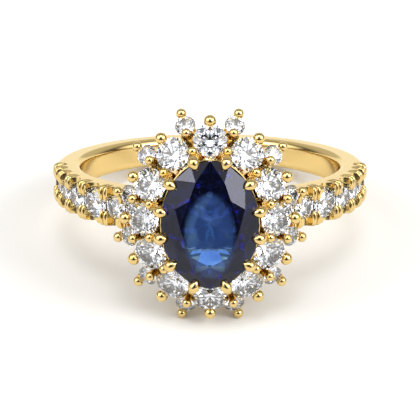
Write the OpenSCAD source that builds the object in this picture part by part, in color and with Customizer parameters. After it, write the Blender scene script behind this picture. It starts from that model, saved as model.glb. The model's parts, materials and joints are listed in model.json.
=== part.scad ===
// Halo engagement ring lying at rest: an oval sapphire in a claw collet, a domed
// halo of large and small round diamonds, and a tapered band with a row of
// diamonds on each shoulder.
//
// Everything is drawn in the jeweller's frame: X across the finger, Y along it,
// Z out through the head, origin at the centre of the finger hole. The resting()
// wrapper then leans the ring over, so that the halo and the back of the band
// touch the plane below it.

/* [Band] */
// Radius of the finger hole
finger_r = 8.46; // [8.25:0.01:8.7]
// Wall thickness at the back of the band
band_wall = 1.5; // [1.35:0.05:1.65]
// Extra wall thickness gained from the back to the head
wall_gain = 0.3; // [0.1:0.05:0.4]
// Width of the band half way round
band_w = 2.2; // [2.1:0.05:2.4]
// Width the band gains for each millimetre towards the head
band_taper = 0.04; // [0.02:0.005:0.05]
// Bevel on the edges of the finger hole
lip_bevel = 0.25; // [0.15:0.05:0.35]
// Bevel on the outer edges of the band
outer_bevel = 0.35; // [0.2:0.05:0.4]

/* [Centre stone] */
// Width of the oval sapphire
sapphire_w = 6; // [5.8:0.05:6.1]
// Length of the oval sapphire along the finger
sapphire_l = 8; // [7.8:0.05:8.1]
// Height of the sapphire's girdle above the finger axis
sapphire_z = 12.5; // [12.4:0.05:12.8]
// Thickness of the centre claws
claw_d = 0.44; // [0.36:0.02:0.48]

/* [Halo] */
// Diameter of the large halo diamonds
large_d = 2.1; // [2:0.02:2.16]
// Diameter of the small accent diamonds
small_d = 1.28; // [1.2:0.02:1.36]
// Outward lean of the large diamonds, degrees
large_lean = 27; // [24:1:30]
// Outward lean of the small diamonds, degrees
small_lean = 38; // [34:1:42]
// Diameter of the round ends of the outer prongs
tip_d = 0.7; // [0.6:0.02:0.74]

/* [Shoulders] */
// Angle from the head to the first shoulder diamond, degrees
first_angle = 28.3; // [28:0.1:30]
// Space between neighbouring shoulder diamonds
row_gap = 0.05; // [0.04:0.01:0.1]
// Thickness of one half of a split shoulder prong
split_d = 0.32; // [0.26:0.02:0.34]

/* [Hidden] */
$fn = 48;

// Length of a cylinder that passes right through the band
through = 8;

// Cut of the round and oval stones, as shares of the girdle radius
table_share = 0.57;
star_share = 0.763;
girdle_share = 0.06;
crown_angle = 34.5;
pavilion_angle = 40.75;
lower_half_share = 0.22;
sapphire_table = 0.6;
sapphire_pavilion = 37;

// Halo layout: 12 large stones, with 12 small ones outside the gaps
halo_count = 12;
halo_bunching = 4.5;
large_oval = [4.07, 4.94];
small_oval = [5.1, 5.93];
large_z = 11.05;
small_z = 10.1;
claw_gap = 0.12;
claw_oval = [sapphire_w, sapphire_l] / 2 + [claw_gap, claw_gap];
claw_clear_angle = 42;
inner_bead_oval = [3.78, 4.55];
inner_bead_z = 11.4;
outer_bead_oval = [4.79, 5.6];
outer_bead_z = 10.8;
bead_d = 0.5;

// Under-gallery that carries the halo
saddle_z = 9.4;
saddle_half = 4.3;
rail_inner = [3.3, 4.2];
rail_outer = [4.5, 5.4];
rail_top = 10.1;
cup_share = 0.8;
large_cup = 1.15;
small_cup = 0.75;
azure_share = 0.42;
rail_hole_reach = 2;

// Round-ended prongs: how far the end stands out and up, and where the tail starts
tip_out = 0.12;
tip_rise = 0.2;
large_tail = [0.5, -1.1];
small_tail = [0.4, -0.6];
small_tip_share = 0.9;

// Collet that carries the sapphire
collet_outer = [3.03, 4.03];
collet_wall = 0.4;
collet_drop = 0.2;
window_r = 0.7;
window_z = 10.6;
window_count = 8;

// Shoulder rows
shoulder_sizes = [1.3, 1.5, 2.0, 1.75, 1.4, 1.2, 1.1];
shoulder_count = len(shoulder_sizes);
row_r = finger_r + 1.39;
scallop_share = 0.62;
split_apart = 0.17;
prong_reach = 0.42;
prong_rise = 0.34;

// Derived sizes of the band
outer_r = finger_r + band_wall + wall_gain / 2;
outer_shift = wall_gain / 2;
taper_angle = atan(band_taper / 2);

// Lean at rest, from the halo's lowest prongs and the band's back edge
halo_drop = small_oval.y + small_d / 2 + 0.08;
back_half_w = band_w / 2 - (finger_r + band_wall) * band_taper / 2;
rest_lean = atan((halo_drop - back_half_w) / (small_z + finger_r + band_wall - outer_bevel));

function numbered(name, count) = [for (i = [1:count]) str(name, i < 10 ? "0" : "", i)];
function shoulder_name(side, i) = str("shoulder_", side < 0 ? "left" : "right", "_0", i + 1);
function shoulder_names(side) = [for (i = [0:shoulder_count - 1]) shoulder_name(side, i)];

METAL = ["shank", "collet", "claws", "halo_gallery", "halo_inner_beads", "halo_outer_beads",
    "halo_large_prongs", "halo_small_prongs", "left_upper_prongs", "left_lower_prongs",
    "right_upper_prongs", "right_lower_prongs"];

// ---------- places ----------

// Clock angle of halo place i, evened out along the oval
function clock(i) = let (t = 360 / halo_count * i) t + halo_bunching * sin(2 * t);

function on_oval(oval, t, z) = [oval.x * sin(t), oval.y * cos(t), z];

// Direction, from +X, that faces straight out of the oval at clock angle t
function outward(oval, t) = atan2(cos(t) / oval.y, sin(t) / oval.x);

// Angle round the band of shoulder stone i, each one touching the last but for the gap
function shoulder_angle(i) = i == 0 ? first_angle
    : shoulder_angle(i - 1)
        + ((shoulder_sizes[i - 1] + shoulder_sizes[i]) / 2 + row_gap) / row_r * 180 / PI;

// Angle of the gap that follows shoulder stone i
function gap_angle(i) =
    shoulder_angle(i) + (shoulder_sizes[i] + row_gap) / 2 / row_r * 180 / PI;

function half_band_w(z) = (band_w + band_taper * z) / 2;

module resting() {
    rotate([90 - rest_lean, 0, 0]) children();
}

module at_halo(oval, t, z, lean) {
    translate(on_oval(oval, t, z)) rotate([0, lean, outward(oval, t)]) children();
}

module at_large(i) {
    at_halo(large_oval, clock(i), large_z, large_lean) children();
}

module at_small(i) {
    at_halo(small_oval, clock(i + 0.5), small_z, small_lean) children();
}

module at_shoulder(side, angle) {
    rotate([0, side * angle, 0]) translate([0, 0, row_r]) children();
}

// ---------- stones ----------

function around(count, first, r, z) =
    [for (i = [0:count - 1]) let (a = first + 360 / count * i) [r * cos(a), r * sin(a), z]];

// Corners of a brilliant cut with a girdle radius of 1
function brilliant_points(table, star, slope, pavilion) =
    let (
        half = girdle_share / 2,
        crown = (1 - table) * tan(slope),
        star_z = half + crown - (star * cos(22.5) - table) * tan(slope),
        lower_z = -half - (1 - lower_half_share * cos(22.5)) * tan(pavilion)
    )
    concat(
        around(8, 0, table, half + crown),
        around(8, 22.5, star, star_z),
        around(16, 0, 1, half),
        around(16, 0, 1, -half),
        around(8, 22.5, lower_half_share, lower_z),
        [[0, 0, -half - tan(pavilion)]]
    );

TABLE = 0;
STAR = 8;
TOP_GIRDLE = 16;
LOW_GIRDLE = 32;
LOWER_HALF = 48;
CULET = 56;

function brilliant_faces() = concat(
    [[for (i = [7:-1:0]) TABLE + i]],
    [for (i = [0:7]) [TABLE + i, TABLE + (i + 1) % 8, STAR + i]],
    [for (i = [0:7]) [TABLE + i, STAR + i, TOP_GIRDLE + 2 * i, STAR + (i + 7) % 8]],
    [for (i = [0:7]) [STAR + i, TOP_GIRDLE + 2 * i + 1, TOP_GIRDLE + 2 * i]],
    [for (i = [0:7]) [STAR + i, TOP_GIRDLE + (2 * i + 2) % 16, TOP_GIRDLE + 2 * i + 1]],
    [for (i = [0:15]) [TOP_GIRDLE + i, TOP_GIRDLE + (i + 1) % 16,
        LOW_GIRDLE + (i + 1) % 16, LOW_GIRDLE + i]],
    [for (i = [0:7]) [LOWER_HALF + i, LOW_GIRDLE + 2 * i, LOW_GIRDLE + 2 * i + 1]],
    [for (i = [0:7]) [LOWER_HALF + i, LOW_GIRDLE + 2 * i + 1, LOW_GIRDLE + (2 * i + 2) % 16]],
    [for (i = [0:7]) [CULET, LOWER_HALF + (i + 7) % 8, LOW_GIRDLE + 2 * i, LOWER_HALF + i]]
);

module brilliant(width, length, table, pavilion) {
    unit = brilliant_points(table, star_share, crown_angle, pavilion);
    size = [width, length, min(width, length)] / 2;
    polyhedron([for (p = unit) [p.x * size.x, p.y * size.y, p.z * size.z]], brilliant_faces());
}

module round_stone(d) {
    brilliant(d, d, table_share, pavilion_angle);
}

// Round space that a stone fills, which seats and prongs are cut to
module stone_space(d) {
    r = d / 2;
    half = girdle_share / 2 * r;
    rotate_extrude()
        polygon([
            [0, -half - r * tan(pavilion_angle)],
            [r, -half],
            [r, half],
            [table_share * r, half + (1 - table_share) * r * tan(crown_angle)],
            [0, half + (1 - table_share) * r * tan(crown_angle)]
        ]);
}

module centre_stone() {
    translate([0, 0, sapphire_z])
        brilliant(sapphire_w, sapphire_l, sapphire_table, sapphire_pavilion);
}

// ---------- metal ----------

module rod(from, to, r) {
    way = to - from;
    translate(from)
        rotate([0, acos(way.z / norm(way)), atan2(way.y, way.x)])
            cylinder(h = norm(way), r = r, $fn = 48);
}

module ball(at, r) {
    translate(at) sphere(r, $fn = 48);
}

module oval_prism(oval, low, high) {
    translate([0, 0, low])
        linear_extrude(high - low)
            polygon([for (a = [0:6:354]) [oval.x * cos(a), oval.y * sin(a)]]);
}

// Outside of the band as a plain drum
module band_round() {
    translate([0, 0, outer_shift])
        rotate([90, 0, 0])
            cylinder(h = through, r = outer_r, center = true, $fn = 360);
}

// Ring of metal whose two faces lean apart towards the head
module band_blank() {
    reach = outer_r + 1;
    intersection() {
        band_round();
        rotate([90, 0, 90])
            linear_extrude(2 * reach, center = true)
                polygon([
                    [-half_band_w(-reach), -reach],
                    [half_band_w(-reach), -reach],
                    [half_band_w(reach), reach],
                    [-half_band_w(reach), reach]
                ]);
    }
}

// Cone that bevels the hole's edge on the face at side +1 or -1
module lip_cone(side) {
    rotate([-side * (90 - taper_angle), 0, 0])
        translate([0, 0, band_w / 2 - lip_bevel - 0.5])
            cylinder(h = 1.5, r1 = finger_r - 0.5, r2 = finger_r + 1, $fn = 96);
}

// Ring that bevels the outer edge on the face at side +1 or -1
module edge_ring(side) {
    rotate([-side * (90 - taper_angle), 0, 0])
        translate([0, -side * outer_shift, band_w / 2])
            rotate_extrude($fn = 96)
                polygon([
                    [outer_r - outer_bevel, 0.02],
                    [outer_r + 0.5, -outer_bevel - 0.5],
                    [outer_r + 0.5, 0.5],
                    [outer_r - outer_bevel, 0.5]
                ]);
}

module shoulder_spaces(side) {
    for (i = [0:shoulder_count - 1])
        at_shoulder(side, shoulder_angle(i)) open_seat(shoulder_sizes[i]);
}

// Cone and bore that let a stone in from above
module open_seat(d) {
    r = d / 2;
    half = girdle_share / 2 * r;
    rotate_extrude()
        polygon([[0, -half - r * tan(pavilion_angle)], [r, -half], [r, 2], [0, 2]]);
}

// Rounded notches under the edges of the shoulder stones
module scallops(side) {
    for (i = [0:shoulder_count - 1])
        at_shoulder(side, shoulder_angle(i))
            translate([0, 0, shoulder_sizes[i] * 0.12])
                rotate([90, 0, 0])
                    cylinder(h = 4, r = scallop_share * shoulder_sizes[i] / 2,
                        center = true, $fn = 32);
}

module band_hole() {
    rotate([90, 0, 0]) cylinder(h = through, r = finger_r, center = true, $fn = 96);
}

module saddle_cut() {
    translate([-saddle_half, -3, saddle_z]) cube([2 * saddle_half, 6, 3]);
}

module shank() {
    color("gold") resting()
        difference() {
            band_blank();
            band_hole();
            saddle_cut();
            for (side = [-1, 1]) {
                lip_cone(side);
                edge_ring(side);
                scallops(side);
                shoulder_spaces(side);
            }
        }
}

// One row of split prongs: side is left -1 or right 1, edge is lower -1 or upper 1
module prong_row(side, edge) {
    color("goldenrod") resting()
        for (i = [0:shoulder_count - 1])
            difference() {
                for (half = [-1, 1])
                    split_prong(side, edge, gap_angle(i), half * split_apart);
                band_round();
                for (k = [i:min(i + 1, shoulder_count - 1)])
                    at_shoulder(side, shoulder_angle(k)) stone_space(shoulder_sizes[k]);
            }
}

module split_prong(side, edge, angle, aside) {
    edge_w = half_band_w(row_r * cos(angle)) - 0.05;
    at_shoulder(side, angle) {
        rod([aside, edge * edge_w, prong_rise - 0.1], [aside, edge * prong_reach, prong_rise],
            split_d * 0.45);
        ball([aside, edge * prong_reach, prong_rise], split_d / 2);
    }
}

module left_upper_prongs() { prong_row(-1, 1); }

module left_lower_prongs() { prong_row(-1, -1); }

module right_upper_prongs() { prong_row(1, 1); }

module right_lower_prongs() { prong_row(1, -1); }

// Oval wall with windows, bored to the sapphire's pavilion
module collet() {
    color("gold") resting()
        difference() {
            collet_blank();
            oval_prism(collet_outer - [collet_wall, collet_wall], saddle_z - 1, sapphire_z + 1);
            for (i = [0:window_count / 2 - 1]) collet_window(360 / window_count * i);
            centre_stone();
        }
}

module collet_blank() {
    oval_prism(collet_outer, saddle_z, sapphire_z - collet_drop);
}

// Twelve claws that stand on the collet's side and close over the sapphire's edge
module claws() {
    color("goldenrod") resting()
        for (i = [0:halo_count - 1])
            at_halo(claw_oval, clock(i + 0.5), sapphire_z, 0)
                difference() {
                    claw();
                    sapphire_edge();
                    translate([collet_outer.x - claw_oval.x - 2, -1, -3]) cube([2, 2, 3 - collet_drop]);
                }
}

// The sapphire's edge as a straight ridge, just steep enough to clear its facets
module sapphire_edge() {
    half = girdle_share * sapphire_w / 4;
    rotate([90, 0, 0])
        linear_extrude(2, center = true)
            polygon([
                [-claw_gap - 2, -half - 1.6],
                [-claw_gap, -half],
                [-claw_gap, half],
                [-claw_gap - 1, half + tan(claw_clear_angle)],
                [-claw_gap - 2, half + tan(claw_clear_angle)]
            ]);
}

module claw() {
    foot = [-0.05, 0, -1.2];
    bend = [0, 0, 0.02];
    tip = [-0.34, 0, 0.36];
    rod(foot, bend, claw_d * 0.44);
    ball(bend, claw_d / 2);
    rod(bend, tip, claw_d * 0.4);
    ball(tip, claw_d * 0.48);
}

module collet_window(angle) {
    translate([0, 0, window_z])
        rotate([90, 0, angle + 180 / window_count])
            cylinder(h = 12, r = window_r, center = true, $fn = 32);
}

module cup(d, depth) {
    translate([0, 0, -depth])
        cylinder(h = depth - 0.05 * d, r = cup_share * d / 2, $fn = 32);
}

// Rail and seats before the stones are let in
module gallery_blank() {
    difference() {
        oval_prism(rail_outer, saddle_z, rail_top);
        oval_prism(rail_inner, saddle_z - 1, rail_top + 1);
    }
    for (i = [0:halo_count - 1]) {
        at_large(i) cup(large_d, large_cup);
        at_small(i) cup(small_d, small_cup);
    }
}

module halo_gallery() {
    color("gold") resting()
        difference() {
            gallery_blank();
            for (i = [0:halo_count - 1]) {
                at_large(i) stone_and_azure(large_d);
                at_small(i) stone_and_azure(small_d);
            }
        }
}

// A stone's space with the hole that lets light in behind it
module stone_and_azure(d) {
    stone_space(d);
    translate([0, 0, -rail_hole_reach])
        cylinder(h = rail_hole_reach, r = azure_share * d / 2, $fn = 32);
}

// What stands around the gap after halo place i, for a bead to be cut to
module halo_near_gap(i) {
    oval_prism(rail_outer, saddle_z, rail_top);
    for (k = [i, i + 1]) at_large(k) cup_and_stone(large_d, large_cup);
    at_small(i) cup_and_stone(small_d, small_cup);
}

module cup_and_stone(d, depth) {
    cup(d, depth);
    stone_space(d);
}

module bead_post(i, oval, z, foot_oval) {
    top = on_oval(oval, clock(i + 0.5), z);
    foot = on_oval(foot_oval, clock(i + 0.5), rail_top - 0.2);
    difference() {
        union() {
            rod(foot, top, bead_d / 2 - 0.05);
            ball(top, bead_d / 2);
        }
        halo_near_gap(i);
    }
}

module halo_inner_beads() {
    color("goldenrod") resting()
        for (i = [0:halo_count - 1])
            bead_post(i, inner_bead_oval, inner_bead_z, rail_inner + [0.25, 0.25]);
}

module halo_outer_beads() {
    color("goldenrod") resting()
        for (i = [0:halo_count - 1])
            bead_post(i, outer_bead_oval, outer_bead_z, rail_outer - [0.3, 0.3]);
}

// Prong on the outer edge of a stone, with its tail swept in to the rail
module tip_prong(d, bead, tail) {
    tip = [d / 2 + tip_out, 0, tip_rise];
    rod([tail.x, 0, tail.y], tip, bead * 0.36);
    ball(tip, bead / 2);
}

module halo_large_prongs() {
    color("goldenrod") resting()
        for (i = [0:halo_count - 1])
            difference() {
                at_large(i) tip_prong(large_d, tip_d, large_tail);
                oval_prism(rail_outer, saddle_z, rail_top);
                at_large(i) cup_and_stone(large_d, large_cup);
                for (k = [i - 1, i]) at_small(k) cup_and_stone(small_d, small_cup);
            }
}

module halo_small_prongs() {
    color("goldenrod") resting()
        for (i = [0:halo_count - 1])
            difference() {
                at_small(i) tip_prong(small_d, tip_d * small_tip_share, small_tail);
                oval_prism(rail_outer, saddle_z, rail_top);
                at_small(i) cup_and_stone(small_d, small_cup);
            }
}

// ---------- set stones ----------

module sapphire() {
    color("navy") resting() centre_stone();
}

module halo_diamond(i) {
    color("white") resting() at_large(i) round_stone(large_d);
}

module accent_diamond(i) {
    color("white") resting() at_small(i) round_stone(small_d);
}

module shoulder_diamond(side, i) {
    color("white") resting()
        at_shoulder(side, shoulder_angle(i)) round_stone(shoulder_sizes[i]);
}

shank();
collet();
claws();
halo_gallery();
halo_inner_beads();
halo_outer_beads();
halo_large_prongs();
halo_small_prongs();
left_upper_prongs();
left_lower_prongs();
right_upper_prongs();
right_lower_prongs();
sapphire();
for (i = [0:halo_count - 1]) {
    halo_diamond(i);
    accent_diamond(i);
}
for (side = [-1, 1])
    for (i = [0:shoulder_count - 1])
        shoulder_diamond(side, i);
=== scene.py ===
"""Looks for the halo ring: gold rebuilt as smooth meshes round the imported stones, then lit and filmed.

Metal is drawn in the jeweller's frame, in millimetres: X across the finger, Y along it, Z out of the
head, origin in the centre of the finger hole. place() turns that frame into the row frame in metres.
"""

import json
import math

import bpy
import numpy as np
from mathutils import Matrix, Vector


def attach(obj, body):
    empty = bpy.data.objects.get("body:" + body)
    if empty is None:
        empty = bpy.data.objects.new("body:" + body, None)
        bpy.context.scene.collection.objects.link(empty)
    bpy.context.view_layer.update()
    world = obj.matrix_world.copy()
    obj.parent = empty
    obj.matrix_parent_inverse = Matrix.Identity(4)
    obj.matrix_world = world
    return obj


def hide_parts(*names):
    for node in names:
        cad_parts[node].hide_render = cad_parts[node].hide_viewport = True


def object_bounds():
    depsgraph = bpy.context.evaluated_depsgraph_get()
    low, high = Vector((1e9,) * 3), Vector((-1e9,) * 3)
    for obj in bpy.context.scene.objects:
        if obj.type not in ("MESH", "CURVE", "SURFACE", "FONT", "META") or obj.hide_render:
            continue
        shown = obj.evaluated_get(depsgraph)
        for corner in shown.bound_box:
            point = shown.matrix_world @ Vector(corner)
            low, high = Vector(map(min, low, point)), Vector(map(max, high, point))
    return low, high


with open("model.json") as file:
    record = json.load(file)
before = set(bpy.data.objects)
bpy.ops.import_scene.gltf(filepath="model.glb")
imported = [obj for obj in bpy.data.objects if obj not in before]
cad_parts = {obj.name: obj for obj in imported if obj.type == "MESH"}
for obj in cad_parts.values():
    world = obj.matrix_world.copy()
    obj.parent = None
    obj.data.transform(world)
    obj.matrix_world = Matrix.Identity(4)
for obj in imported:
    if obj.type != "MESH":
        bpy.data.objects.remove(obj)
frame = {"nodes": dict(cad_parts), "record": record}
CAD_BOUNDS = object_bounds()
NODES = frame["nodes"]
FINGER_MOUNT = next(m for m in frame["record"]["mounts"] if m["name"] == "finger_bore")

# ---------- frames and measures ----------

MM = 0.001
ACROSS = Vector((1, 0, 0))
ALONG = Vector(FINGER_MOUNT["axis"]).normalized()
HEADWARD = ACROSS.cross(ALONG)
TO_ROW = Matrix((ACROSS, ALONG, HEADWARD)).transposed()
FROM_ROW = np.array(TO_ROW.inverted())

FINGER_R = FINGER_MOUNT["dims"]["r_mm"]
HALO_COUNT = 12
SHOULDER_COUNT = 7
# Points this close to the widest belong to a stone's girdle
GIRDLE_SHARE = 0.97


def place(points):
    """Jeweller's millimetres to row metres."""
    return np.asarray(points, float) @ np.array(TO_ROW).T * MM


def node_points(name):
    """A CAD node's corners, in jeweller's millimetres."""
    corners = np.array([v.co for v in NODES[name].data.vertices])
    return np.unique(np.round(corners @ FROM_ROW.T / MM, 4), axis=0)


class Stone:
    """Centre, axis and girdle radius of a packed round stone, in jeweller's millimetres."""

    def __init__(self, name):
        points = node_points(name)
        self.name = name
        middle = points.mean(0)
        axis = np.linalg.svd(points - middle)[2][2]
        height = (points - middle) @ axis
        if height.max() > -height.min():
            axis = -axis
        spread = np.linalg.norm(np.cross(points - middle, axis), axis=1)
        girdle = points[spread > spread.max() * GIRDLE_SHARE]
        self.centre = girdle.mean(0)
        self.axis = axis
        self.r = spread.max()


UP = np.array([0.0, 0.0, 1.0])


def unit(v):
    v = np.asarray(v, float)
    return v / np.linalg.norm(v)


LARGE = [Stone(f"halo_diamond_{i + 1:02d}") for i in range(HALO_COUNT)]
SMALL = [Stone(f"accent_diamond_{i + 1:02d}") for i in range(HALO_COUNT)]
SHOULDERS = {
    side: [Stone(f"shoulder_{name}_{i + 1:02d}") for i in range(SHOULDER_COUNT)]
    for side, name in ((-1, "left"), (1, "right"))
}
SAPPHIRE_BOX = node_points("sapphire").min(0), node_points("sapphire").max(0)
SHANK_BOX = node_points("shank").min(0), node_points("shank").max(0)

# ---------- mesh building ----------


class Metal:
    """Collects smooth shells and makes them one object that stands for CAD nodes."""

    def __init__(self, name, replaces):
        self.name, self.replaces = name, replaces
        self.points, self.faces = [], []

    def add(self, points, faces):
        start = len(self.points)
        self.points.extend(map(tuple, points))
        self.faces.extend(tuple(start + i for i in face) for face in faces)

    def add_grid(self, rows, closed_rows=False, closed_ends=False):
        """Skins a grid of rings; each ring is closed, and the ends are capped or joined."""
        rows = np.asarray(rows, float)
        count, around = rows.shape[:2]
        faces = []
        for i in range(count if closed_rows else count - 1):
            j = (i + 1) % count
            for k in range(around):
                m = (k + 1) % around
                faces.append((i * around + k, i * around + m, j * around + m, j * around + k))
        if closed_ends:
            faces.append(tuple(reversed(range(around))))
            faces.append(tuple(range((count - 1) * around, count * around)))
        self.add(rows.reshape(-1, 3), faces)

    def finish(self, material, sharp_degrees=40):
        mesh = bpy.data.meshes.new(self.name)
        mesh.from_pydata(place(self.points).tolist(), [], self.faces)
        mesh.validate()
        mesh.shade_smooth()
        mesh.set_sharp_from_angle(angle=math.radians(sharp_degrees))
        mesh.materials.append(material)
        piece = bpy.data.objects.new(self.name, mesh)
        bpy.context.scene.collection.objects.link(piece)
        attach(piece, "root")
        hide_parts(*self.replaces)
        return piece


def smooth_path(points, steps):
    """A curve through the given points, with each point's radius carried along."""
    points = np.asarray(points, float)
    padded = np.vstack([2 * points[0] - points[1], points, 2 * points[-1] - points[-2]])
    out = []
    for i in range(1, len(padded) - 2):
        a, b, c, d = padded[i - 1 : i + 3]
        for t in np.linspace(0, 1, steps, endpoint=False):
            out.append(
                0.5
                * (
                    2 * b
                    + (c - a) * t
                    + (2 * a - 5 * b + 4 * c - d) * t**2
                    + (3 * b - a - 3 * c + d) * t**3
                )
            )
    out.append(padded[-2])
    return np.array(out)


WIRE_LEAST_R = 0.01
# A dome stops short of its pole, so that its last ring isn't a point
DOME_SPAN = math.pi / 2 * 0.92
# Where a ring of a wire starts when nothing depends on it
ANY_SIDE = np.array([0.31, 0.47, 0.83])


def wire(metal, stations, side=None, around=20, steps=5, dome=5):
    """A round wire with domed ends through stations of (x, y, z, radius); rings start towards side."""
    line = smooth_path(stations, steps)
    path, radii = line[:, :3], np.maximum(line[:, 3], WIRE_LEAST_R)
    ways = np.gradient(path, axis=0)
    ways /= np.linalg.norm(ways, axis=1)[:, None]
    hint = ANY_SIDE if side is None else np.asarray(side, float)
    turn = np.linspace(0, 2 * math.pi, around, endpoint=False)

    def ring(centre, way, r):
        wide = unit(hint - way * (hint @ way))
        tall = np.cross(way, wide)
        return centre + r * (np.outer(np.cos(turn), wide) + np.outer(np.sin(turn), tall))

    def dome_ring(end, outward, a):
        centre = path[end] + outward * ways[end] * radii[end] * math.sin(a)
        return ring(centre, ways[end], radii[end] * math.cos(a))

    lift = np.linspace(DOME_SPAN, 0, dome, endpoint=False)
    rings = [dome_ring(0, -1, a) for a in lift]
    rings += [ring(centre, way, r) for centre, way, r in zip(path, ways, radii)]
    rings += [dome_ring(-1, 1, a) for a in lift[::-1]]
    metal.add_grid(rings, closed_ends=True)


# A direction that no stone's axis is parallel to
OFF_AXIS = [0.2, 0.9, 0.1]


def turned(metal, centre, axis, profile, around=40):
    """A closed ring or drum of revolution; profile is (radius, height) pairs, outside edge first."""
    axis = unit(axis)
    wide = unit(np.cross(axis, OFF_AXIS))
    tall = np.cross(axis, wide)
    rows = []
    for turn in np.linspace(0, 2 * math.pi, around, endpoint=False):
        out = math.cos(turn) * wide + math.sin(turn) * tall
        rows.append([np.asarray(centre) + r * out + h * axis for r, h in profile])
    metal.add_grid(rows, closed_rows=True)


def swept_oval(metal, half_sizes, section, around=160):
    """A ring along an oval; section is (outward offset, height) pairs."""
    rows = []
    for turn in np.linspace(0, 2 * math.pi, around, endpoint=False):
        at = np.array([half_sizes[0] * math.sin(turn), half_sizes[1] * math.cos(turn), 0])
        out = unit([math.sin(turn) / half_sizes[0], math.cos(turn) / half_sizes[1], 0])
        rows.append([at + out * o + np.array([0, 0, h]) for o, h in section])
    metal.add_grid(rows, closed_rows=True)


# ---------- materials ----------


def new_material(name):
    material = bpy.data.materials.new(name)
    material.use_nodes = True
    return material, material.node_tree.nodes["Principled BSDF"]


def fill(tree, socket, value):
    """Links another node's output to the socket, or sets the socket to a plain value."""
    if isinstance(value, bpy.types.NodeSocket):
        tree.links.new(value, socket)
    else:
        socket.default_value = value


def add_node(tree, kind, **inputs):
    """A new shader node; an underscore in an input's name stands for a space."""
    made = tree.nodes.new(kind)
    for name, value in inputs.items():
        fill(tree, made.inputs[name.replace("_", " ")], value)
    return made


def maths(tree, operation, a, b, kind="ShaderNodeMath"):
    """A node that works out one thing from a and b."""
    made = tree.nodes.new(kind)
    made.operation = operation
    fill(tree, made.inputs[0], a)
    fill(tree, made.inputs[1], b)
    return made


def number(tree, operation, a, b):
    return maths(tree, operation, a, b).outputs[0]


def dot_product(tree, a, b):
    return maths(tree, "DOT_PRODUCT", a, b, "ShaderNodeVectorMath").outputs["Value"]


def ramp(tree, value, low, high, smooth=False):
    """0 where value is low or less, 1 where it is high or more."""
    made = add_node(tree, "ShaderNodeMapRange", Value=value, From_Min=low, From_Max=high)
    if smooth:
        made.interpolation_type = "SMOOTHSTEP"
    return made.outputs["Result"]


def noise(tree, scale, **inputs):
    return add_node(tree, "ShaderNodeTexNoise", Scale=scale, **inputs).outputs["Fac"]


def colour_mix(tree, share, low, high):
    """A colour that runs from low to high as share runs from 0 to 1."""
    mix = tree.nodes.new("ShaderNodeMix")
    mix.data_type = "RGBA"
    for socket, value in zip((mix.inputs[0], mix.inputs[6], mix.inputs[7]), (share, low, high)):
        fill(tree, socket, (*value, 1) if isinstance(value, tuple) else value)
    return mix.outputs[2]


GOLD = (0.77, 0.57, 0.235, 1)
GOLD_AT_GRAZING = (1.0, 0.96, 0.82, 1)
GOLD_ROUGHNESS = 0.09
POLISH_SCALE = 900
POLISH_STRENGTH = 0.05
POLISH_DEPTH = 0.02 * MM


def make_gold():
    material, shader = new_material("polished_yellow_gold")
    shader.inputs["Base Color"].default_value = GOLD
    shader.inputs["Specular Tint"].default_value = GOLD_AT_GRAZING
    shader.inputs["Metallic"].default_value = 1.0
    shader.inputs["Roughness"].default_value = GOLD_ROUGHNESS
    tree = material.node_tree
    waves = noise(tree, POLISH_SCALE, Detail=2)
    bump = add_node(
        tree, "ShaderNodeBump", Strength=POLISH_STRENGTH, Distance=POLISH_DEPTH, Height=waves
    )
    tree.links.new(bump.outputs["Normal"], shader.inputs["Normal"])
    return material


DIAMOND_IOR = 2.42
SAPPHIRE_IOR = 1.77
DIAMOND_COOL = (0.84, 0.89, 1.0)
DIAMOND_CLEAR = (0.93, 0.95, 1.0)
DIAMOND_CLOUD_SCALE = 1500.0


def gem_shader(name, ior):
    material, shader = new_material(name)
    shader.inputs["Roughness"].default_value = 0.0
    shader.inputs["IOR"].default_value = ior
    shader.inputs["Transmission Weight"].default_value = 1.0
    return material, shader


def place_in_stone(tree):
    return tree.nodes.new("ShaderNodeTexCoord").outputs["Object"]


def make_diamond():
    material, shader = gem_shader("white_diamond", DIAMOND_IOR)
    tree = material.node_tree
    cloud = noise(tree, DIAMOND_CLOUD_SCALE, Vector=place_in_stone(tree), Detail=1.0)
    tint = colour_mix(tree, cloud, DIAMOND_COOL, DIAMOND_CLEAR)
    tree.links.new(tint, shader.inputs["Base Color"])
    return material


# Painted shade and painted light: the stone's edge is painted near black as shade, with violet flecks
# painted on it as flashes of light
SAPPHIRE_PAINTED_DARK_RIM = (0.003, 0.006, 0.04)
SAPPHIRE_PAINTED_FLASH = (0.012, 0.012, 0.6)
# Painted shade and painted light in the middle of the stone, where light comes through it, mixed in
# streaky noise
SAPPHIRE_PAINTED_SHADE = (0.09, 0.22, 0.68)
SAPPHIRE_PAINTED_LIGHT = (0.2, 0.44, 1.0)
SAPPHIRE_GLARE = (0.36, 0.36, 0.42, 1)
SAPPHIRE_CLARITY = 0.85
# Size and downward shift of the oval of painted light in the middle of the stone
PAINTED_LIGHT_HALF = (1.45, 2.45)
PAINTED_LIGHT_DROP = 0.5
# Where the painted light in the middle starts to fade into painted shade and where the painted dark edge
# is reached, in squared shares of the painted light's half sizes
PAINTED_LIGHT_FADE = (0.7, 1.35)
# Noise scale, and the noise values between which a patch fades in, for the painted violet flashes and the
# painted streaky light
PAINTED_FLASHES = (1400.0, 0.66, 0.7)
PAINTED_STREAKS = (650.0, 0.4, 0.6)
PAINTED_STREAK_DISTORTION = 1.2


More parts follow.
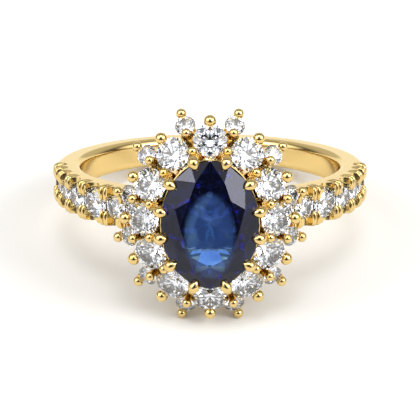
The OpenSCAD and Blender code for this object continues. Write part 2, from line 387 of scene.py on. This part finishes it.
def painted_light_distance(tree, point):
    """Squared distance from the middle of the painted light, which is 1 on the oval of the painted
    light's half sizes.
    """
    low, high = SAPPHIRE_BOX
    middle = place([0, -PAINTED_LIGHT_DROP, (low[2] + high[2]) / 2])
    centred = maths(tree, "SUBTRACT", point, middle, "ShaderNodeVectorMath").outputs[0]
    squares = []
    for axis, half in zip((ACROSS, ALONG), PAINTED_LIGHT_HALF):
        along = dot_product(tree, centred, Vector(axis) / (half * MM))
        squares.append(number(tree, "POWER", along, 2))
    return number(tree, "ADD", *squares)


def patches(tree, point, sizes, distortion=0.0):
    scale, low, high = sizes
    return ramp(tree, noise(tree, scale, Vector=point, Detail=1.0, Distortion=distortion), low, high)


def make_sapphire():
    """Painted light and shade in blue: bright painted light under the table, painted shade nearly black
    towards the edge, with a few painted violet flashes.
    """
    material, shader = gem_shader("blue_sapphire", SAPPHIRE_IOR)
    shader.inputs["Specular Tint"].default_value = SAPPHIRE_GLARE
    shader.inputs["Transmission Weight"].default_value = SAPPHIRE_CLARITY
    tree = material.node_tree
    point = place_in_stone(tree)
    # Painted dark edge of the stone, with painted violet flashes scattered over it
    painted_rim = colour_mix(tree, patches(tree, point, PAINTED_FLASHES), SAPPHIRE_PAINTED_DARK_RIM, SAPPHIRE_PAINTED_FLASH)
    # Streaky painted light and shade in the middle of the stone
    painted_streaks = patches(tree, point, PAINTED_STREAKS, PAINTED_STREAK_DISTORTION)
    painted_heart = colour_mix(tree, painted_streaks, SAPPHIRE_PAINTED_SHADE, SAPPHIRE_PAINTED_LIGHT)
    # Share of painted dark edge, growing from the painted light in the middle out to the stone's edge
    edge = ramp(tree, painted_light_distance(tree, point), *PAINTED_LIGHT_FADE, smooth=True)
    tree.links.new(colour_mix(tree, edge, painted_heart, painted_rim), shader.inputs["Base Color"])
    return material


def dress_stone(name, material):
    stone = NODES[name]
    stone.data.materials.clear()
    stone.data.materials.append(material)
    stone.data.shade_flat()


# ---------- band ----------

TURN_STEPS = 1440
LIP_ROUND = 0.42
PLAIN_EDGE_ROUND = 0.36
ROW_EDGE_ROUND = 0.24
SEAT_ANGLE = math.radians(40.75)
SEAT_CLEAR = 0.1
SCALLOP_SHARE = 0.5
SCALLOP_RISE = 0.32
CHANNEL_HALF = 0.5
CHANNEL_DEPTH = 0.16
GROOVE_HALF = 0.07
GROOVE_DEPTH = 0.55
GROOVE_START = 0.3
GROOVE_LIFT = 0.15
BAND_R = 9.3
# How far past the last stone its prongs stand
LAST_GAP = 0.03
# Turn by which the channel runs past the last gap between two stones
CHANNEL_PAST = 0.01
# Cosine of the turn within which the saddle cuts the band, and the least one divided by
SADDLE_REACH = 0.8
LEAST_COSINE = 0.1
NO_LIMIT = 99.0
# Heights in the shank below and above which its back and its front are measured
BACK_BELOW = -9
FRONT_ABOVE = 6
# Turn at which the edges begin to round off more, and over how much turn they do
PLAIN_FROM = 1.52
PLAIN_OVER = 0.18
LIP_FLAT_STEPS = 6
LIP_STEPS = 9
WALL_STEPS = 15
EDGE_STEPS = 8
CROWN_STEPS = 26


def stone_turn(stone):
    """Angle round the band from the head towards +X."""
    return math.atan2(stone.centre[0], stone.centre[2])


def row_gaps(side):
    """(turn, band radius) of the gap after each shoulder stone."""
    row = SHOULDERS[side]
    gaps = []
    for i, stone in enumerate(row):
        r = np.linalg.norm(stone.centre)
        edge = abs(stone_turn(stone)) + stone.r / r
        if i + 1 < len(row):
            after = row[i + 1]
            edge = (edge + abs(stone_turn(after)) - after.r / r) / 2
        else:
            edge += LAST_GAP / r
        gaps.append((side * edge, r))
    return gaps


def row_r(side):
    return np.linalg.norm(SHOULDERS[side][0].centre)


def row_ends(side):
    """Turns, counted from the head, between which the row's middle is cut down between stones."""
    gaps = row_gaps(side)
    return abs(stone_turn(SHOULDERS[side][0])), abs(gaps[-2][0]) + CHANNEL_PAST


def band_width_line():
    """Offset and slope of the band's half width against height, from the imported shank."""
    points = node_points("shank")
    back = points[points[:, 2] < BACK_BELOW]
    front = points[points[:, 2] > FRONT_ABOVE]
    (z0, y0), (z1, y1) = (part[part[:, 1].argmax()][[2, 1]] for part in (back, front))
    slope = (y1 - y0) / (z1 - z0)
    return y0 - slope * z0, slope


WIDTH_AT_0, WIDTH_SLOPE = band_width_line()


def half_width(turn):
    return WIDTH_AT_0 + WIDTH_SLOPE * BAND_R * np.cos(turn)


def outer_radius(turn):
    drum_r = SHANK_BOX[1][0]
    shift = SHANK_BOX[0][2] + drum_r
    return shift * np.cos(turn) + np.sqrt(drum_r**2 - (shift * np.sin(turn)) ** 2)


def seat_cut(limit, stone, turn, y):
    """Lowers the limit to a shoulder stone's seat and the notch under it."""
    seat_r = np.linalg.norm(stone.centre)
    aside = (turn - stone_turn(stone)) * seat_r
    across = np.hypot(aside, y)
    seat = seat_r - SEAT_CLEAR - (stone.r - across) * math.tan(SEAT_ANGLE)
    limit = np.where(across < stone.r, np.minimum(limit, seat), limit)
    notch_r = SCALLOP_SHARE * stone.r
    depth = np.sqrt(np.maximum(notch_r**2 - aside**2, 0))
    notch = seat_r + SCALLOP_RISE * stone.r - depth
    return np.where(np.abs(aside) < notch_r, np.minimum(limit, notch), limit)


def channel_cut(limit, side, turn, y):
    first, last = row_ends(side)
    in_row = (side * turn > first) & (side * turn < last) & (np.abs(y) < CHANNEL_HALF)
    return np.where(in_row, np.minimum(limit, row_r(side) - CHANNEL_DEPTH), limit)


def groove_cut(limit, gap, seat_r, turn, y):
    aside = np.abs(turn - gap) * seat_r
    groove = seat_r + GROOVE_LIFT - GROOVE_DEPTH * (1 - aside / GROOVE_HALF)
    inside = (aside < GROOVE_HALF) & (np.abs(y) > GROOVE_START)
    return np.where(inside, np.minimum(limit, groove), limit)


def cut_limit(turn, y):
    """Highest radius that the seats, notches, channel, grooves and saddle leave at (turn, y)."""
    limit = np.full(np.broadcast(turn, y).shape, NO_LIMIT)
    saddle = SHANK_BOX[1][2] / np.maximum(np.cos(turn), LEAST_COSINE)
    limit = np.where(np.cos(turn) > SADDLE_REACH, saddle, limit)
    for side in (-1, 1):
        for stone in SHOULDERS[side]:
            limit = seat_cut(limit, stone, turn, y)
        limit = channel_cut(limit, side, turn, y)
        for gap, seat_r in row_gaps(side):
            limit = groove_cut(limit, gap, seat_r, turn, y)
    return limit


def half_section(turn):
    """(y, radius) columns of the band's upper half section at each turn, hole to crown."""
    w, outer = half_width(turn), outer_radius(turn)
    plain = np.clip((np.abs(turn) - PLAIN_FROM) / PLAIN_OVER, 0, 1)
    edge = ROW_EDGE_ROUND + (PLAIN_EDGE_ROUND - ROW_EDGE_ROUND) * plain
    lip_y, lip_r = w - LIP_ROUND, FINGER_R + LIP_ROUND
    columns = [(lip_y * t, FINGER_R + 0 * w) for t in np.linspace(0, 1, LIP_FLAT_STEPS)[:-1]]
    for a in np.linspace(-math.pi / 2, 0, LIP_STEPS):
        columns.append((lip_y + LIP_ROUND * math.cos(a), lip_r + LIP_ROUND * math.sin(a)))
    top = np.minimum(outer - edge, cut_limit(turn, w))
    columns += [(w, lip_r + (top - lip_r) * t) for t in np.linspace(0, 1, WALL_STEPS)[1:]]
    for a in np.linspace(0, math.pi / 2, EDGE_STEPS)[1:]:
        y = w - edge + edge * math.cos(a)
        columns.append((y, np.minimum(outer - edge + edge * math.sin(a), cut_limit(turn, y))))
    for t in np.linspace(1, 0, CROWN_STEPS)[1:]:
        y = (w - edge) * t
        columns.append((y, np.minimum(outer, cut_limit(turn, y))))
    return columns


def build_band(gold):
    turn = np.linspace(-math.pi, math.pi, TURN_STEPS, endpoint=False)
    upper = half_section(turn)
    lower = [(-y, r) for y, r in upper[1:-1]]
    rows = []
    for y, r in upper + lower[::-1]:
        y, r = np.broadcast_to(y, turn.shape), np.broadcast_to(r, turn.shape)
        rows.append(np.stack([r * np.sin(turn), y, r * np.cos(turn)], axis=1))
    metal = Metal("band", ["shank"])
    metal.add_grid(np.stack(rows).transpose(1, 0, 2), closed_rows=True)
    metal.finish(gold)


def band_point(turn, y, r):
    return np.array([r * math.sin(turn), y, r * math.cos(turn)])


SPLIT_ASIDE = 0.17
SPLIT_REACH = 0.4
# (from the band's middle, above the stones' girdles, radius) over the stones' edges
SPLIT_TIP = [(SPLIT_REACH, 0.24, 0.1), (SPLIT_REACH + 0.16, 0.29, 0.15)]
# (in from the band's wall, above the stones' girdles, radius) over the edge and down the wall
SPLIT_TAIL = [(0.22, 0.27, 0.16), (0.08, 0.1, 0.14), (0.06, -0.25, 0.11), (0.08, -0.6, 0.06)]
SPLIT_ROWS = {
    "left_upper": (-1, 1),
    "left_lower": (-1, -1),
    "right_upper": (1, 1),
    "right_lower": (1, -1),
}


def split_prong(metal, turn, seat_r, edge):
    """One half of a split prong: a drop over the stones' edges that runs down the band's wall."""
    wall = half_width(turn)
    shape = SPLIT_TIP + [(wall - inward, up, r) for inward, up, r in SPLIT_TAIL]
    stations = [(*band_point(turn, edge * y, seat_r + up), r) for y, up, r in shape]
    wire(metal, stations, around=14, steps=4)


def build_split_prongs(gold):
    for name, (side, edge) in SPLIT_ROWS.items():
        metal = Metal(f"{name}_prong_row", [f"{name}_prongs"])
        for gap, seat_r in row_gaps(side):
            for aside in (-SPLIT_ASIDE, SPLIT_ASIDE):
                split_prong(metal, gap + aside / seat_r, seat_r, edge)
        metal.finish(gold)


# ---------- head ----------

# (away from the sapphire's edge, up, radius) along a claw, foot to tip
CLAW_SHAPE = [
    (0.1, -1.1, 0.17),
    (0.2, -0.55, 0.22),
    (0.22, -0.12, 0.32),
    (0.1, 0.1, 0.37),
    (-0.06, 0.2, 0.32),
    (-0.2, 0.26, 0.21),
    (-0.3, 0.29, 0.11),
    (-0.36, 0.31, 0.03),
]
# (name, stones, radius of a prong's round end, depth of a cup) of each row of halo stones
HALO_ROWS = [("large", LARGE, 0.38, 1.15), ("small", SMALL, 0.32, 0.75)]
TIP_OUT = 0.12
TIP_RISE = 0.19
# Where a round-ended prong's stations lie: inwards from its ball, and down in shares of the cup's depth
NECK_IN, NECK_DROP = 0.14, 0.43
TAIL_IN, TAIL_DROP = 0.32, 0.8
ELBOW_DROP = 0.06
# Share of the way from the tail to the foot
ELBOW_SHARE = 0.35
# The foot's place on the cup, in shares of the stone's radius and of the cup's depth
FOOT_OUT, FOOT_DROP = 0.68, 0.85
# Radius at the foot, elbow, tail, neck and ball, in shares of the ball's
PRONG_SHARES = (0.42, 0.44, 0.47, 0.72, 1)
# A prong leans in less across the finger than along it
INWARD_SHARES = [0.3, 1, 1]


def stone_out(stone):
    """Direction in the stone's own plane that leads straight away from the head's centre."""
    flat = unit([stone.axis[0], stone.axis[1], 0])
    return unit(flat - stone.axis * (flat @ stone.axis))


def tip_prong(metal, stone, ball_r, cup_depth):
    """A round-ended prong on the stone's outer edge that tapers back into the stone's cup."""
    out = stone_out(stone)
    ball = stone.centre + out * (stone.r + TIP_OUT) + stone.axis * TIP_RISE
    inward = -unit([stone.axis[0], stone.axis[1], 0]) * INWARD_SHARES
    neck = ball + inward * NECK_IN - UP * NECK_DROP * cup_depth
    tail = ball + inward * TAIL_IN - UP * TAIL_DROP * cup_depth
    foot = stone.centre + out * FOOT_OUT * stone.r - stone.axis * FOOT_DROP * cup_depth
    elbow = foot * ELBOW_SHARE + tail * (1 - ELBOW_SHARE) - UP * ELBOW_DROP
    path = (foot, elbow, tail, neck, ball)
    stations = [(*at, share * ball_r) for at, share in zip(path, PRONG_SHARES)]
    wire(metal, stations, steps=6, around=28, dome=8)


def halo_gap(i):
    """Middle of the gap after large stone i, the way out from it, and the shared lean."""
    a, b = LARGE[i], LARGE[(i + 1) % HALO_COUNT]
    middle = (a.centre + b.centre) / 2
    out = unit([SMALL[i].axis[0], SMALL[i].axis[1], 0])
    return middle, out, unit(a.axis + b.axis)


BEAD_R = 0.3
BEAD_NECK_R = 0.225
BEAD_FOOT_R = 0.15
BEAD_NECK_DEPTH = 0.4
BEAD_FOOT_DEPTH = 1.25
BEAD_FOOT_IN = 0.1
# (out from the gap's middle, up)
INNER_BEAD = (-0.17, 0.44)
OUTER_BEAD = (0.9, -0.16)


def bead(metal, top, lean, out):
    foot = top - lean * BEAD_FOOT_DEPTH - out * BEAD_FOOT_IN
    neck = top - lean * BEAD_NECK_DEPTH
    stations = [(*foot, BEAD_FOOT_R), (*neck, BEAD_NECK_R), (*top, BEAD_R)]
    wire(metal, stations, around=28, dome=8)


def build_beads(gold):
    inner = Metal("inner_bead_ring", ["halo_inner_beads"])
    outer = Metal("outer_bead_ring", ["halo_outer_beads"])
    for i in range(HALO_COUNT):
        middle, out, lean = halo_gap(i)
        for metal, (outward, up) in ((inner, INNER_BEAD), (outer, OUTER_BEAD)):
            bead(metal, middle + out * outward + UP * up, lean, out)
        grains(inner, middle, out)
    inner.finish(gold)
    outer.finish(gold)


GRAIN_R = 0.062
# (in from the gap's middle, count) of each row of grains
GRAIN_ROWS = [(0.44, 4), (0.54, 5), (0.64, 4)]
GRAIN_UP = 0.42
GRAIN_CLIMB = 0.25
GRAIN_DEPTH = 0.3


def grains(metal, middle, out):
    """A patch of milgrain between an inner bead and its claw."""
    side = np.cross(out, UP)
    for inward, count in GRAIN_ROWS:
        row = middle - out * inward + UP * (GRAIN_UP + inward * GRAIN_CLIMB)
        for k in range(count):
            top = row + side * (k - (count - 1) / 2) * 2 * GRAIN_R
            stations = [(*(top - UP * GRAIN_DEPTH), GRAIN_R), (*top, GRAIN_R)]
            wire(metal, stations, around=10, steps=2, dome=4)


def build_tip_prongs(gold):
    for name, stones, ball_r, cup_depth in HALO_ROWS:
        metal = Metal(f"{name}_tip_prongs", [f"halo_{name}_prongs"])
        for stone in stones:
            tip_prong(metal, stone, ball_r, cup_depth)
        metal.finish(gold)


# Points this close to the sapphire's side belong to its girdle
EDGE_SHARE = 0.99


def sapphire_edge(direction):
    """Point on the sapphire's girdle in a flat direction, with the way out of the oval there."""
    low, high = SAPPHIRE_BOX
    half = (high - low)[:2] / 2
    turn = math.atan2(direction[0] / half[0], direction[1] / half[1])
    points = node_points("sapphire")
    girdle_z = points[np.abs(points[:, 0]) > half[0] * EDGE_SHARE][:, 2].mean()
    at = np.array([half[0] * math.sin(turn), half[1] * math.cos(turn), girdle_z])
    return at, unit([math.sin(turn) / half[0], math.cos(turn) / half[1], 0])


def build_claws(gold):
    metal = Metal("claw_ring", ["claws"])
    for i in range(HALO_COUNT):
        middle, _, _ = halo_gap(i)
        at, out = sapphire_edge(middle)
        stations = [(*(at + out * o + UP * up), r) for o, up, r in CLAW_SHAPE]
        wire(metal, stations, side=np.cross(out, UP), steps=6)
    metal.finish(gold)


# (in from the collet's outside, down from its top) along its bevelled mouth
COLLET_MOUTH = [(0, 0.05), (0.05, 0), (0.12, 0.03), (0.4, 0.4)]
COLLET_WALL = 0.4


def build_collet(gold):
    points = node_points("collet")
    low, high = points.min(0), points.max(0)
    section = [(0, low[2])] + [(-inward, high[2] - down) for inward, down in COLLET_MOUTH]
    section.append((-COLLET_WALL, low[2]))
    metal = Metal("collet_wall", ["collet"])
    swept_oval(metal, (high - low)[:2] / 2, section)
    metal.finish(gold)


# Shares of the stone's radius
CUP_WALL = 0.8
CUP_HOLE = 0.42


def cup(metal, stone, depth):
    """A round cup under a halo stone, open behind it."""
    wall, hole = CUP_WALL * stone.r, CUP_HOLE * stone.r
    slope = (wall - hole) * math.tan(SEAT_ANGLE)
    seat_top = -SEAT_CLEAR - (stone.r - wall) * math.tan(SEAT_ANGLE)
    profile = [(wall, -depth), (wall, seat_top), (hole, seat_top - slope), (hole, -depth)]
    turned(metal, stone.centre, stone.axis, profile)


RAIL_OVAL = (3.9, 4.8)
RAIL_HALF = 0.6
RAIL_LOW, RAIL_HIGH = 9.42, 10.1
RAIL_BEVEL = 0.1


def bevelled_bar(half, low, high, bevel):
    """Section of a bar between two heights, with its four corners cut."""
    flat = half - bevel
    right = [(flat, low), (half, low + bevel), (half, high - bevel), (flat, high)]
    return [(-flat, low), *right, (-flat, high), (-half, high - bevel), (-half, low + bevel)]


def build_gallery(gold):
    metal = Metal("gallery_rail", ["halo_gallery"])
    swept_oval(metal, RAIL_OVAL, bevelled_bar(RAIL_HALF, RAIL_LOW, RAIL_HIGH, RAIL_BEVEL))
    for _, stones, _, cup_depth in HALO_ROWS:
        for stone in stones:
            cup(metal, stone, cup_depth)
    metal.finish(gold)


# ---------- stage ----------

REST_LEAN = math.atan2(ALONG.y, ALONG.z)
VIEW_LIFT = math.radians(13.2) + REST_LEAN
VIEW_DISTANCE = 0.15
LENS = 195
NEAR_CLIP = 0.005
AIM_DROP = 2.1 * MM
FLOOR_HALF = 0.6
FLOOR_COLOUR = (0.84, 0.83, 0.81, 1)
FLOOR_ROUGHNESS = 0.6
FLOOR_GLOSS = 0.1
AMBIENT = 0.1
# (direction, degrees of full light, degrees at which it ends, strength) of each soft box
SOFT_BOXES = [
    ((-1, -0.45, 0.9), 18, 43, 2.2),
    ((1, -0.45, 0.9), 18, 43, 2.2),
    ((0, 1, 0.1), 35, 75, 0.75),
    ((0, -0.2, 1), 6, 18, 7.0),
    ((-0.70, -0.28, 0.65), 6, 9, 9.0),
    ((0.74, -0.38, 0.57), 11, 14, 9.0),
]
# Degrees of full darkness, and degrees at which it ends
LENS_ANGLES = (10, 18)
LENS_DARKNESS = 0.95
SWEEP = 1.05
BACKGROUND_GREY = 0.8


def build_floor():
    low = CAD_BOUNDS[0][2]
    corners = [(-1, -1), (1, -1), (1, 1), (-1, 1)]
    mesh = bpy.data.meshes.new("floor")
    points = [(x * FLOOR_HALF, y * FLOOR_HALF, low) for x, y in corners]
    mesh.from_pydata(points, [], [(0, 1, 2, 3)])
    material, shader = new_material("pale_floor")
    shader.inputs["Base Color"].default_value = FLOOR_COLOUR
    shader.inputs["Roughness"].default_value = FLOOR_ROUGHNESS
    shader.inputs["Specular IOR Level"].default_value = FLOOR_GLOSS
    mesh.materials.append(material)
    floor = bpy.data.objects.new("floor", mesh)
    bpy.context.scene.collection.objects.link(floor)


def build_camera():
    scene = bpy.context.scene
    away = Vector((0, -math.cos(VIEW_LIFT), math.sin(VIEW_LIFT)))
    aim = Vector((0, -math.sin(VIEW_LIFT), -math.cos(VIEW_LIFT))) * AIM_DROP
    camera = bpy.data.objects.new("camera", bpy.data.cameras.new("camera"))
    camera.data.lens = LENS
    camera.data.clip_start = NEAR_CLIP
    camera.location = away * VIEW_DISTANCE
    camera.rotation_euler = (aim - camera.location).to_track_quat("-Z", "Y").to_euler()
    scene.collection.objects.link(camera)
    scene.camera = camera
    return away


def lobe(tree, way, direction, inner, outer):
    """1 within inner degrees of the direction, falling to 0 at outer degrees."""
    dot = dot_product(tree, way, Vector(direction).normalized())
    low, high = (math.cos(math.radians(angle)) for angle in (outer, inner))
    return ramp(tree, dot, low, high, smooth=True)


def studio_light(tree, way, camera_way):
    """Soft boxes in a dim tent, with a dark patch where the main camera's lens is."""
    light = AMBIENT
    for direction, inner, outer, strength in SOFT_BOXES:
        box = number(tree, "MULTIPLY", lobe(tree, way, direction, inner, outer), strength)
        light = number(tree, "ADD", light, box)
    lens = number(tree, "MULTIPLY", lobe(tree, way, camera_way, *LENS_ANGLES), LENS_DARKNESS)
    return number(tree, "MULTIPLY", light, number(tree, "SUBTRACT", 1.0, lens))


def build_world(camera_way):
    """The studio light, with an even pale background in what the camera itself sees."""
    world = bpy.data.worlds.new("studio")
    bpy.context.scene.world = world
    world.use_nodes = True
    tree = world.node_tree
    tree.nodes.clear()
    light = studio_light(tree, tree.nodes.new("ShaderNodeTexCoord").outputs["Generated"], camera_way)
    seen = tree.nodes.new("ShaderNodeLightPath").outputs["Is Camera Ray"]
    light = number(tree, "MULTIPLY", light, number(tree, "SUBTRACT", 1.0, seen))
    backdrop = number(tree, "MULTIPLY", seen, SWEEP / BACKGROUND_GREY)
    strength = number(tree, "ADD", light, backdrop)
    grey = (BACKGROUND_GREY, BACKGROUND_GREY, BACKGROUND_GREY, 1)
    background = add_node(tree, "ShaderNodeBackground", Color=grey, Strength=strength)
    add_node(tree, "ShaderNodeOutputWorld", Surface=background.outputs[0])


MOST_BOUNCES = 32
STONE_BOUNCES = 24
GOLD_BOUNCES = 5


def set_look():
    scene = bpy.context.scene
    scene.view_settings.view_transform = "Standard"
    scene.cycles.max_bounces = MOST_BOUNCES
    scene.cycles.transmission_bounces = STONE_BOUNCES
    scene.cycles.glossy_bounces = GOLD_BOUNCES
    scene.cycles.caustics_refractive = True


def main():
    gold = make_gold()
    diamond = make_diamond()
    sapphire = make_sapphire()
    for stone in LARGE + SMALL + SHOULDERS[-1] + SHOULDERS[1]:
        dress_stone(stone.name, diamond)
    dress_stone("sapphire", sapphire)
    build_band(gold)
    build_split_prongs(gold)
    build_beads(gold)
    build_tip_prongs(gold)
    build_claws(gold)
    build_collet(gold)
    build_gallery(gold)
    build_floor()
    camera_way = build_camera()
    build_world(camera_way)
    set_look()


main()
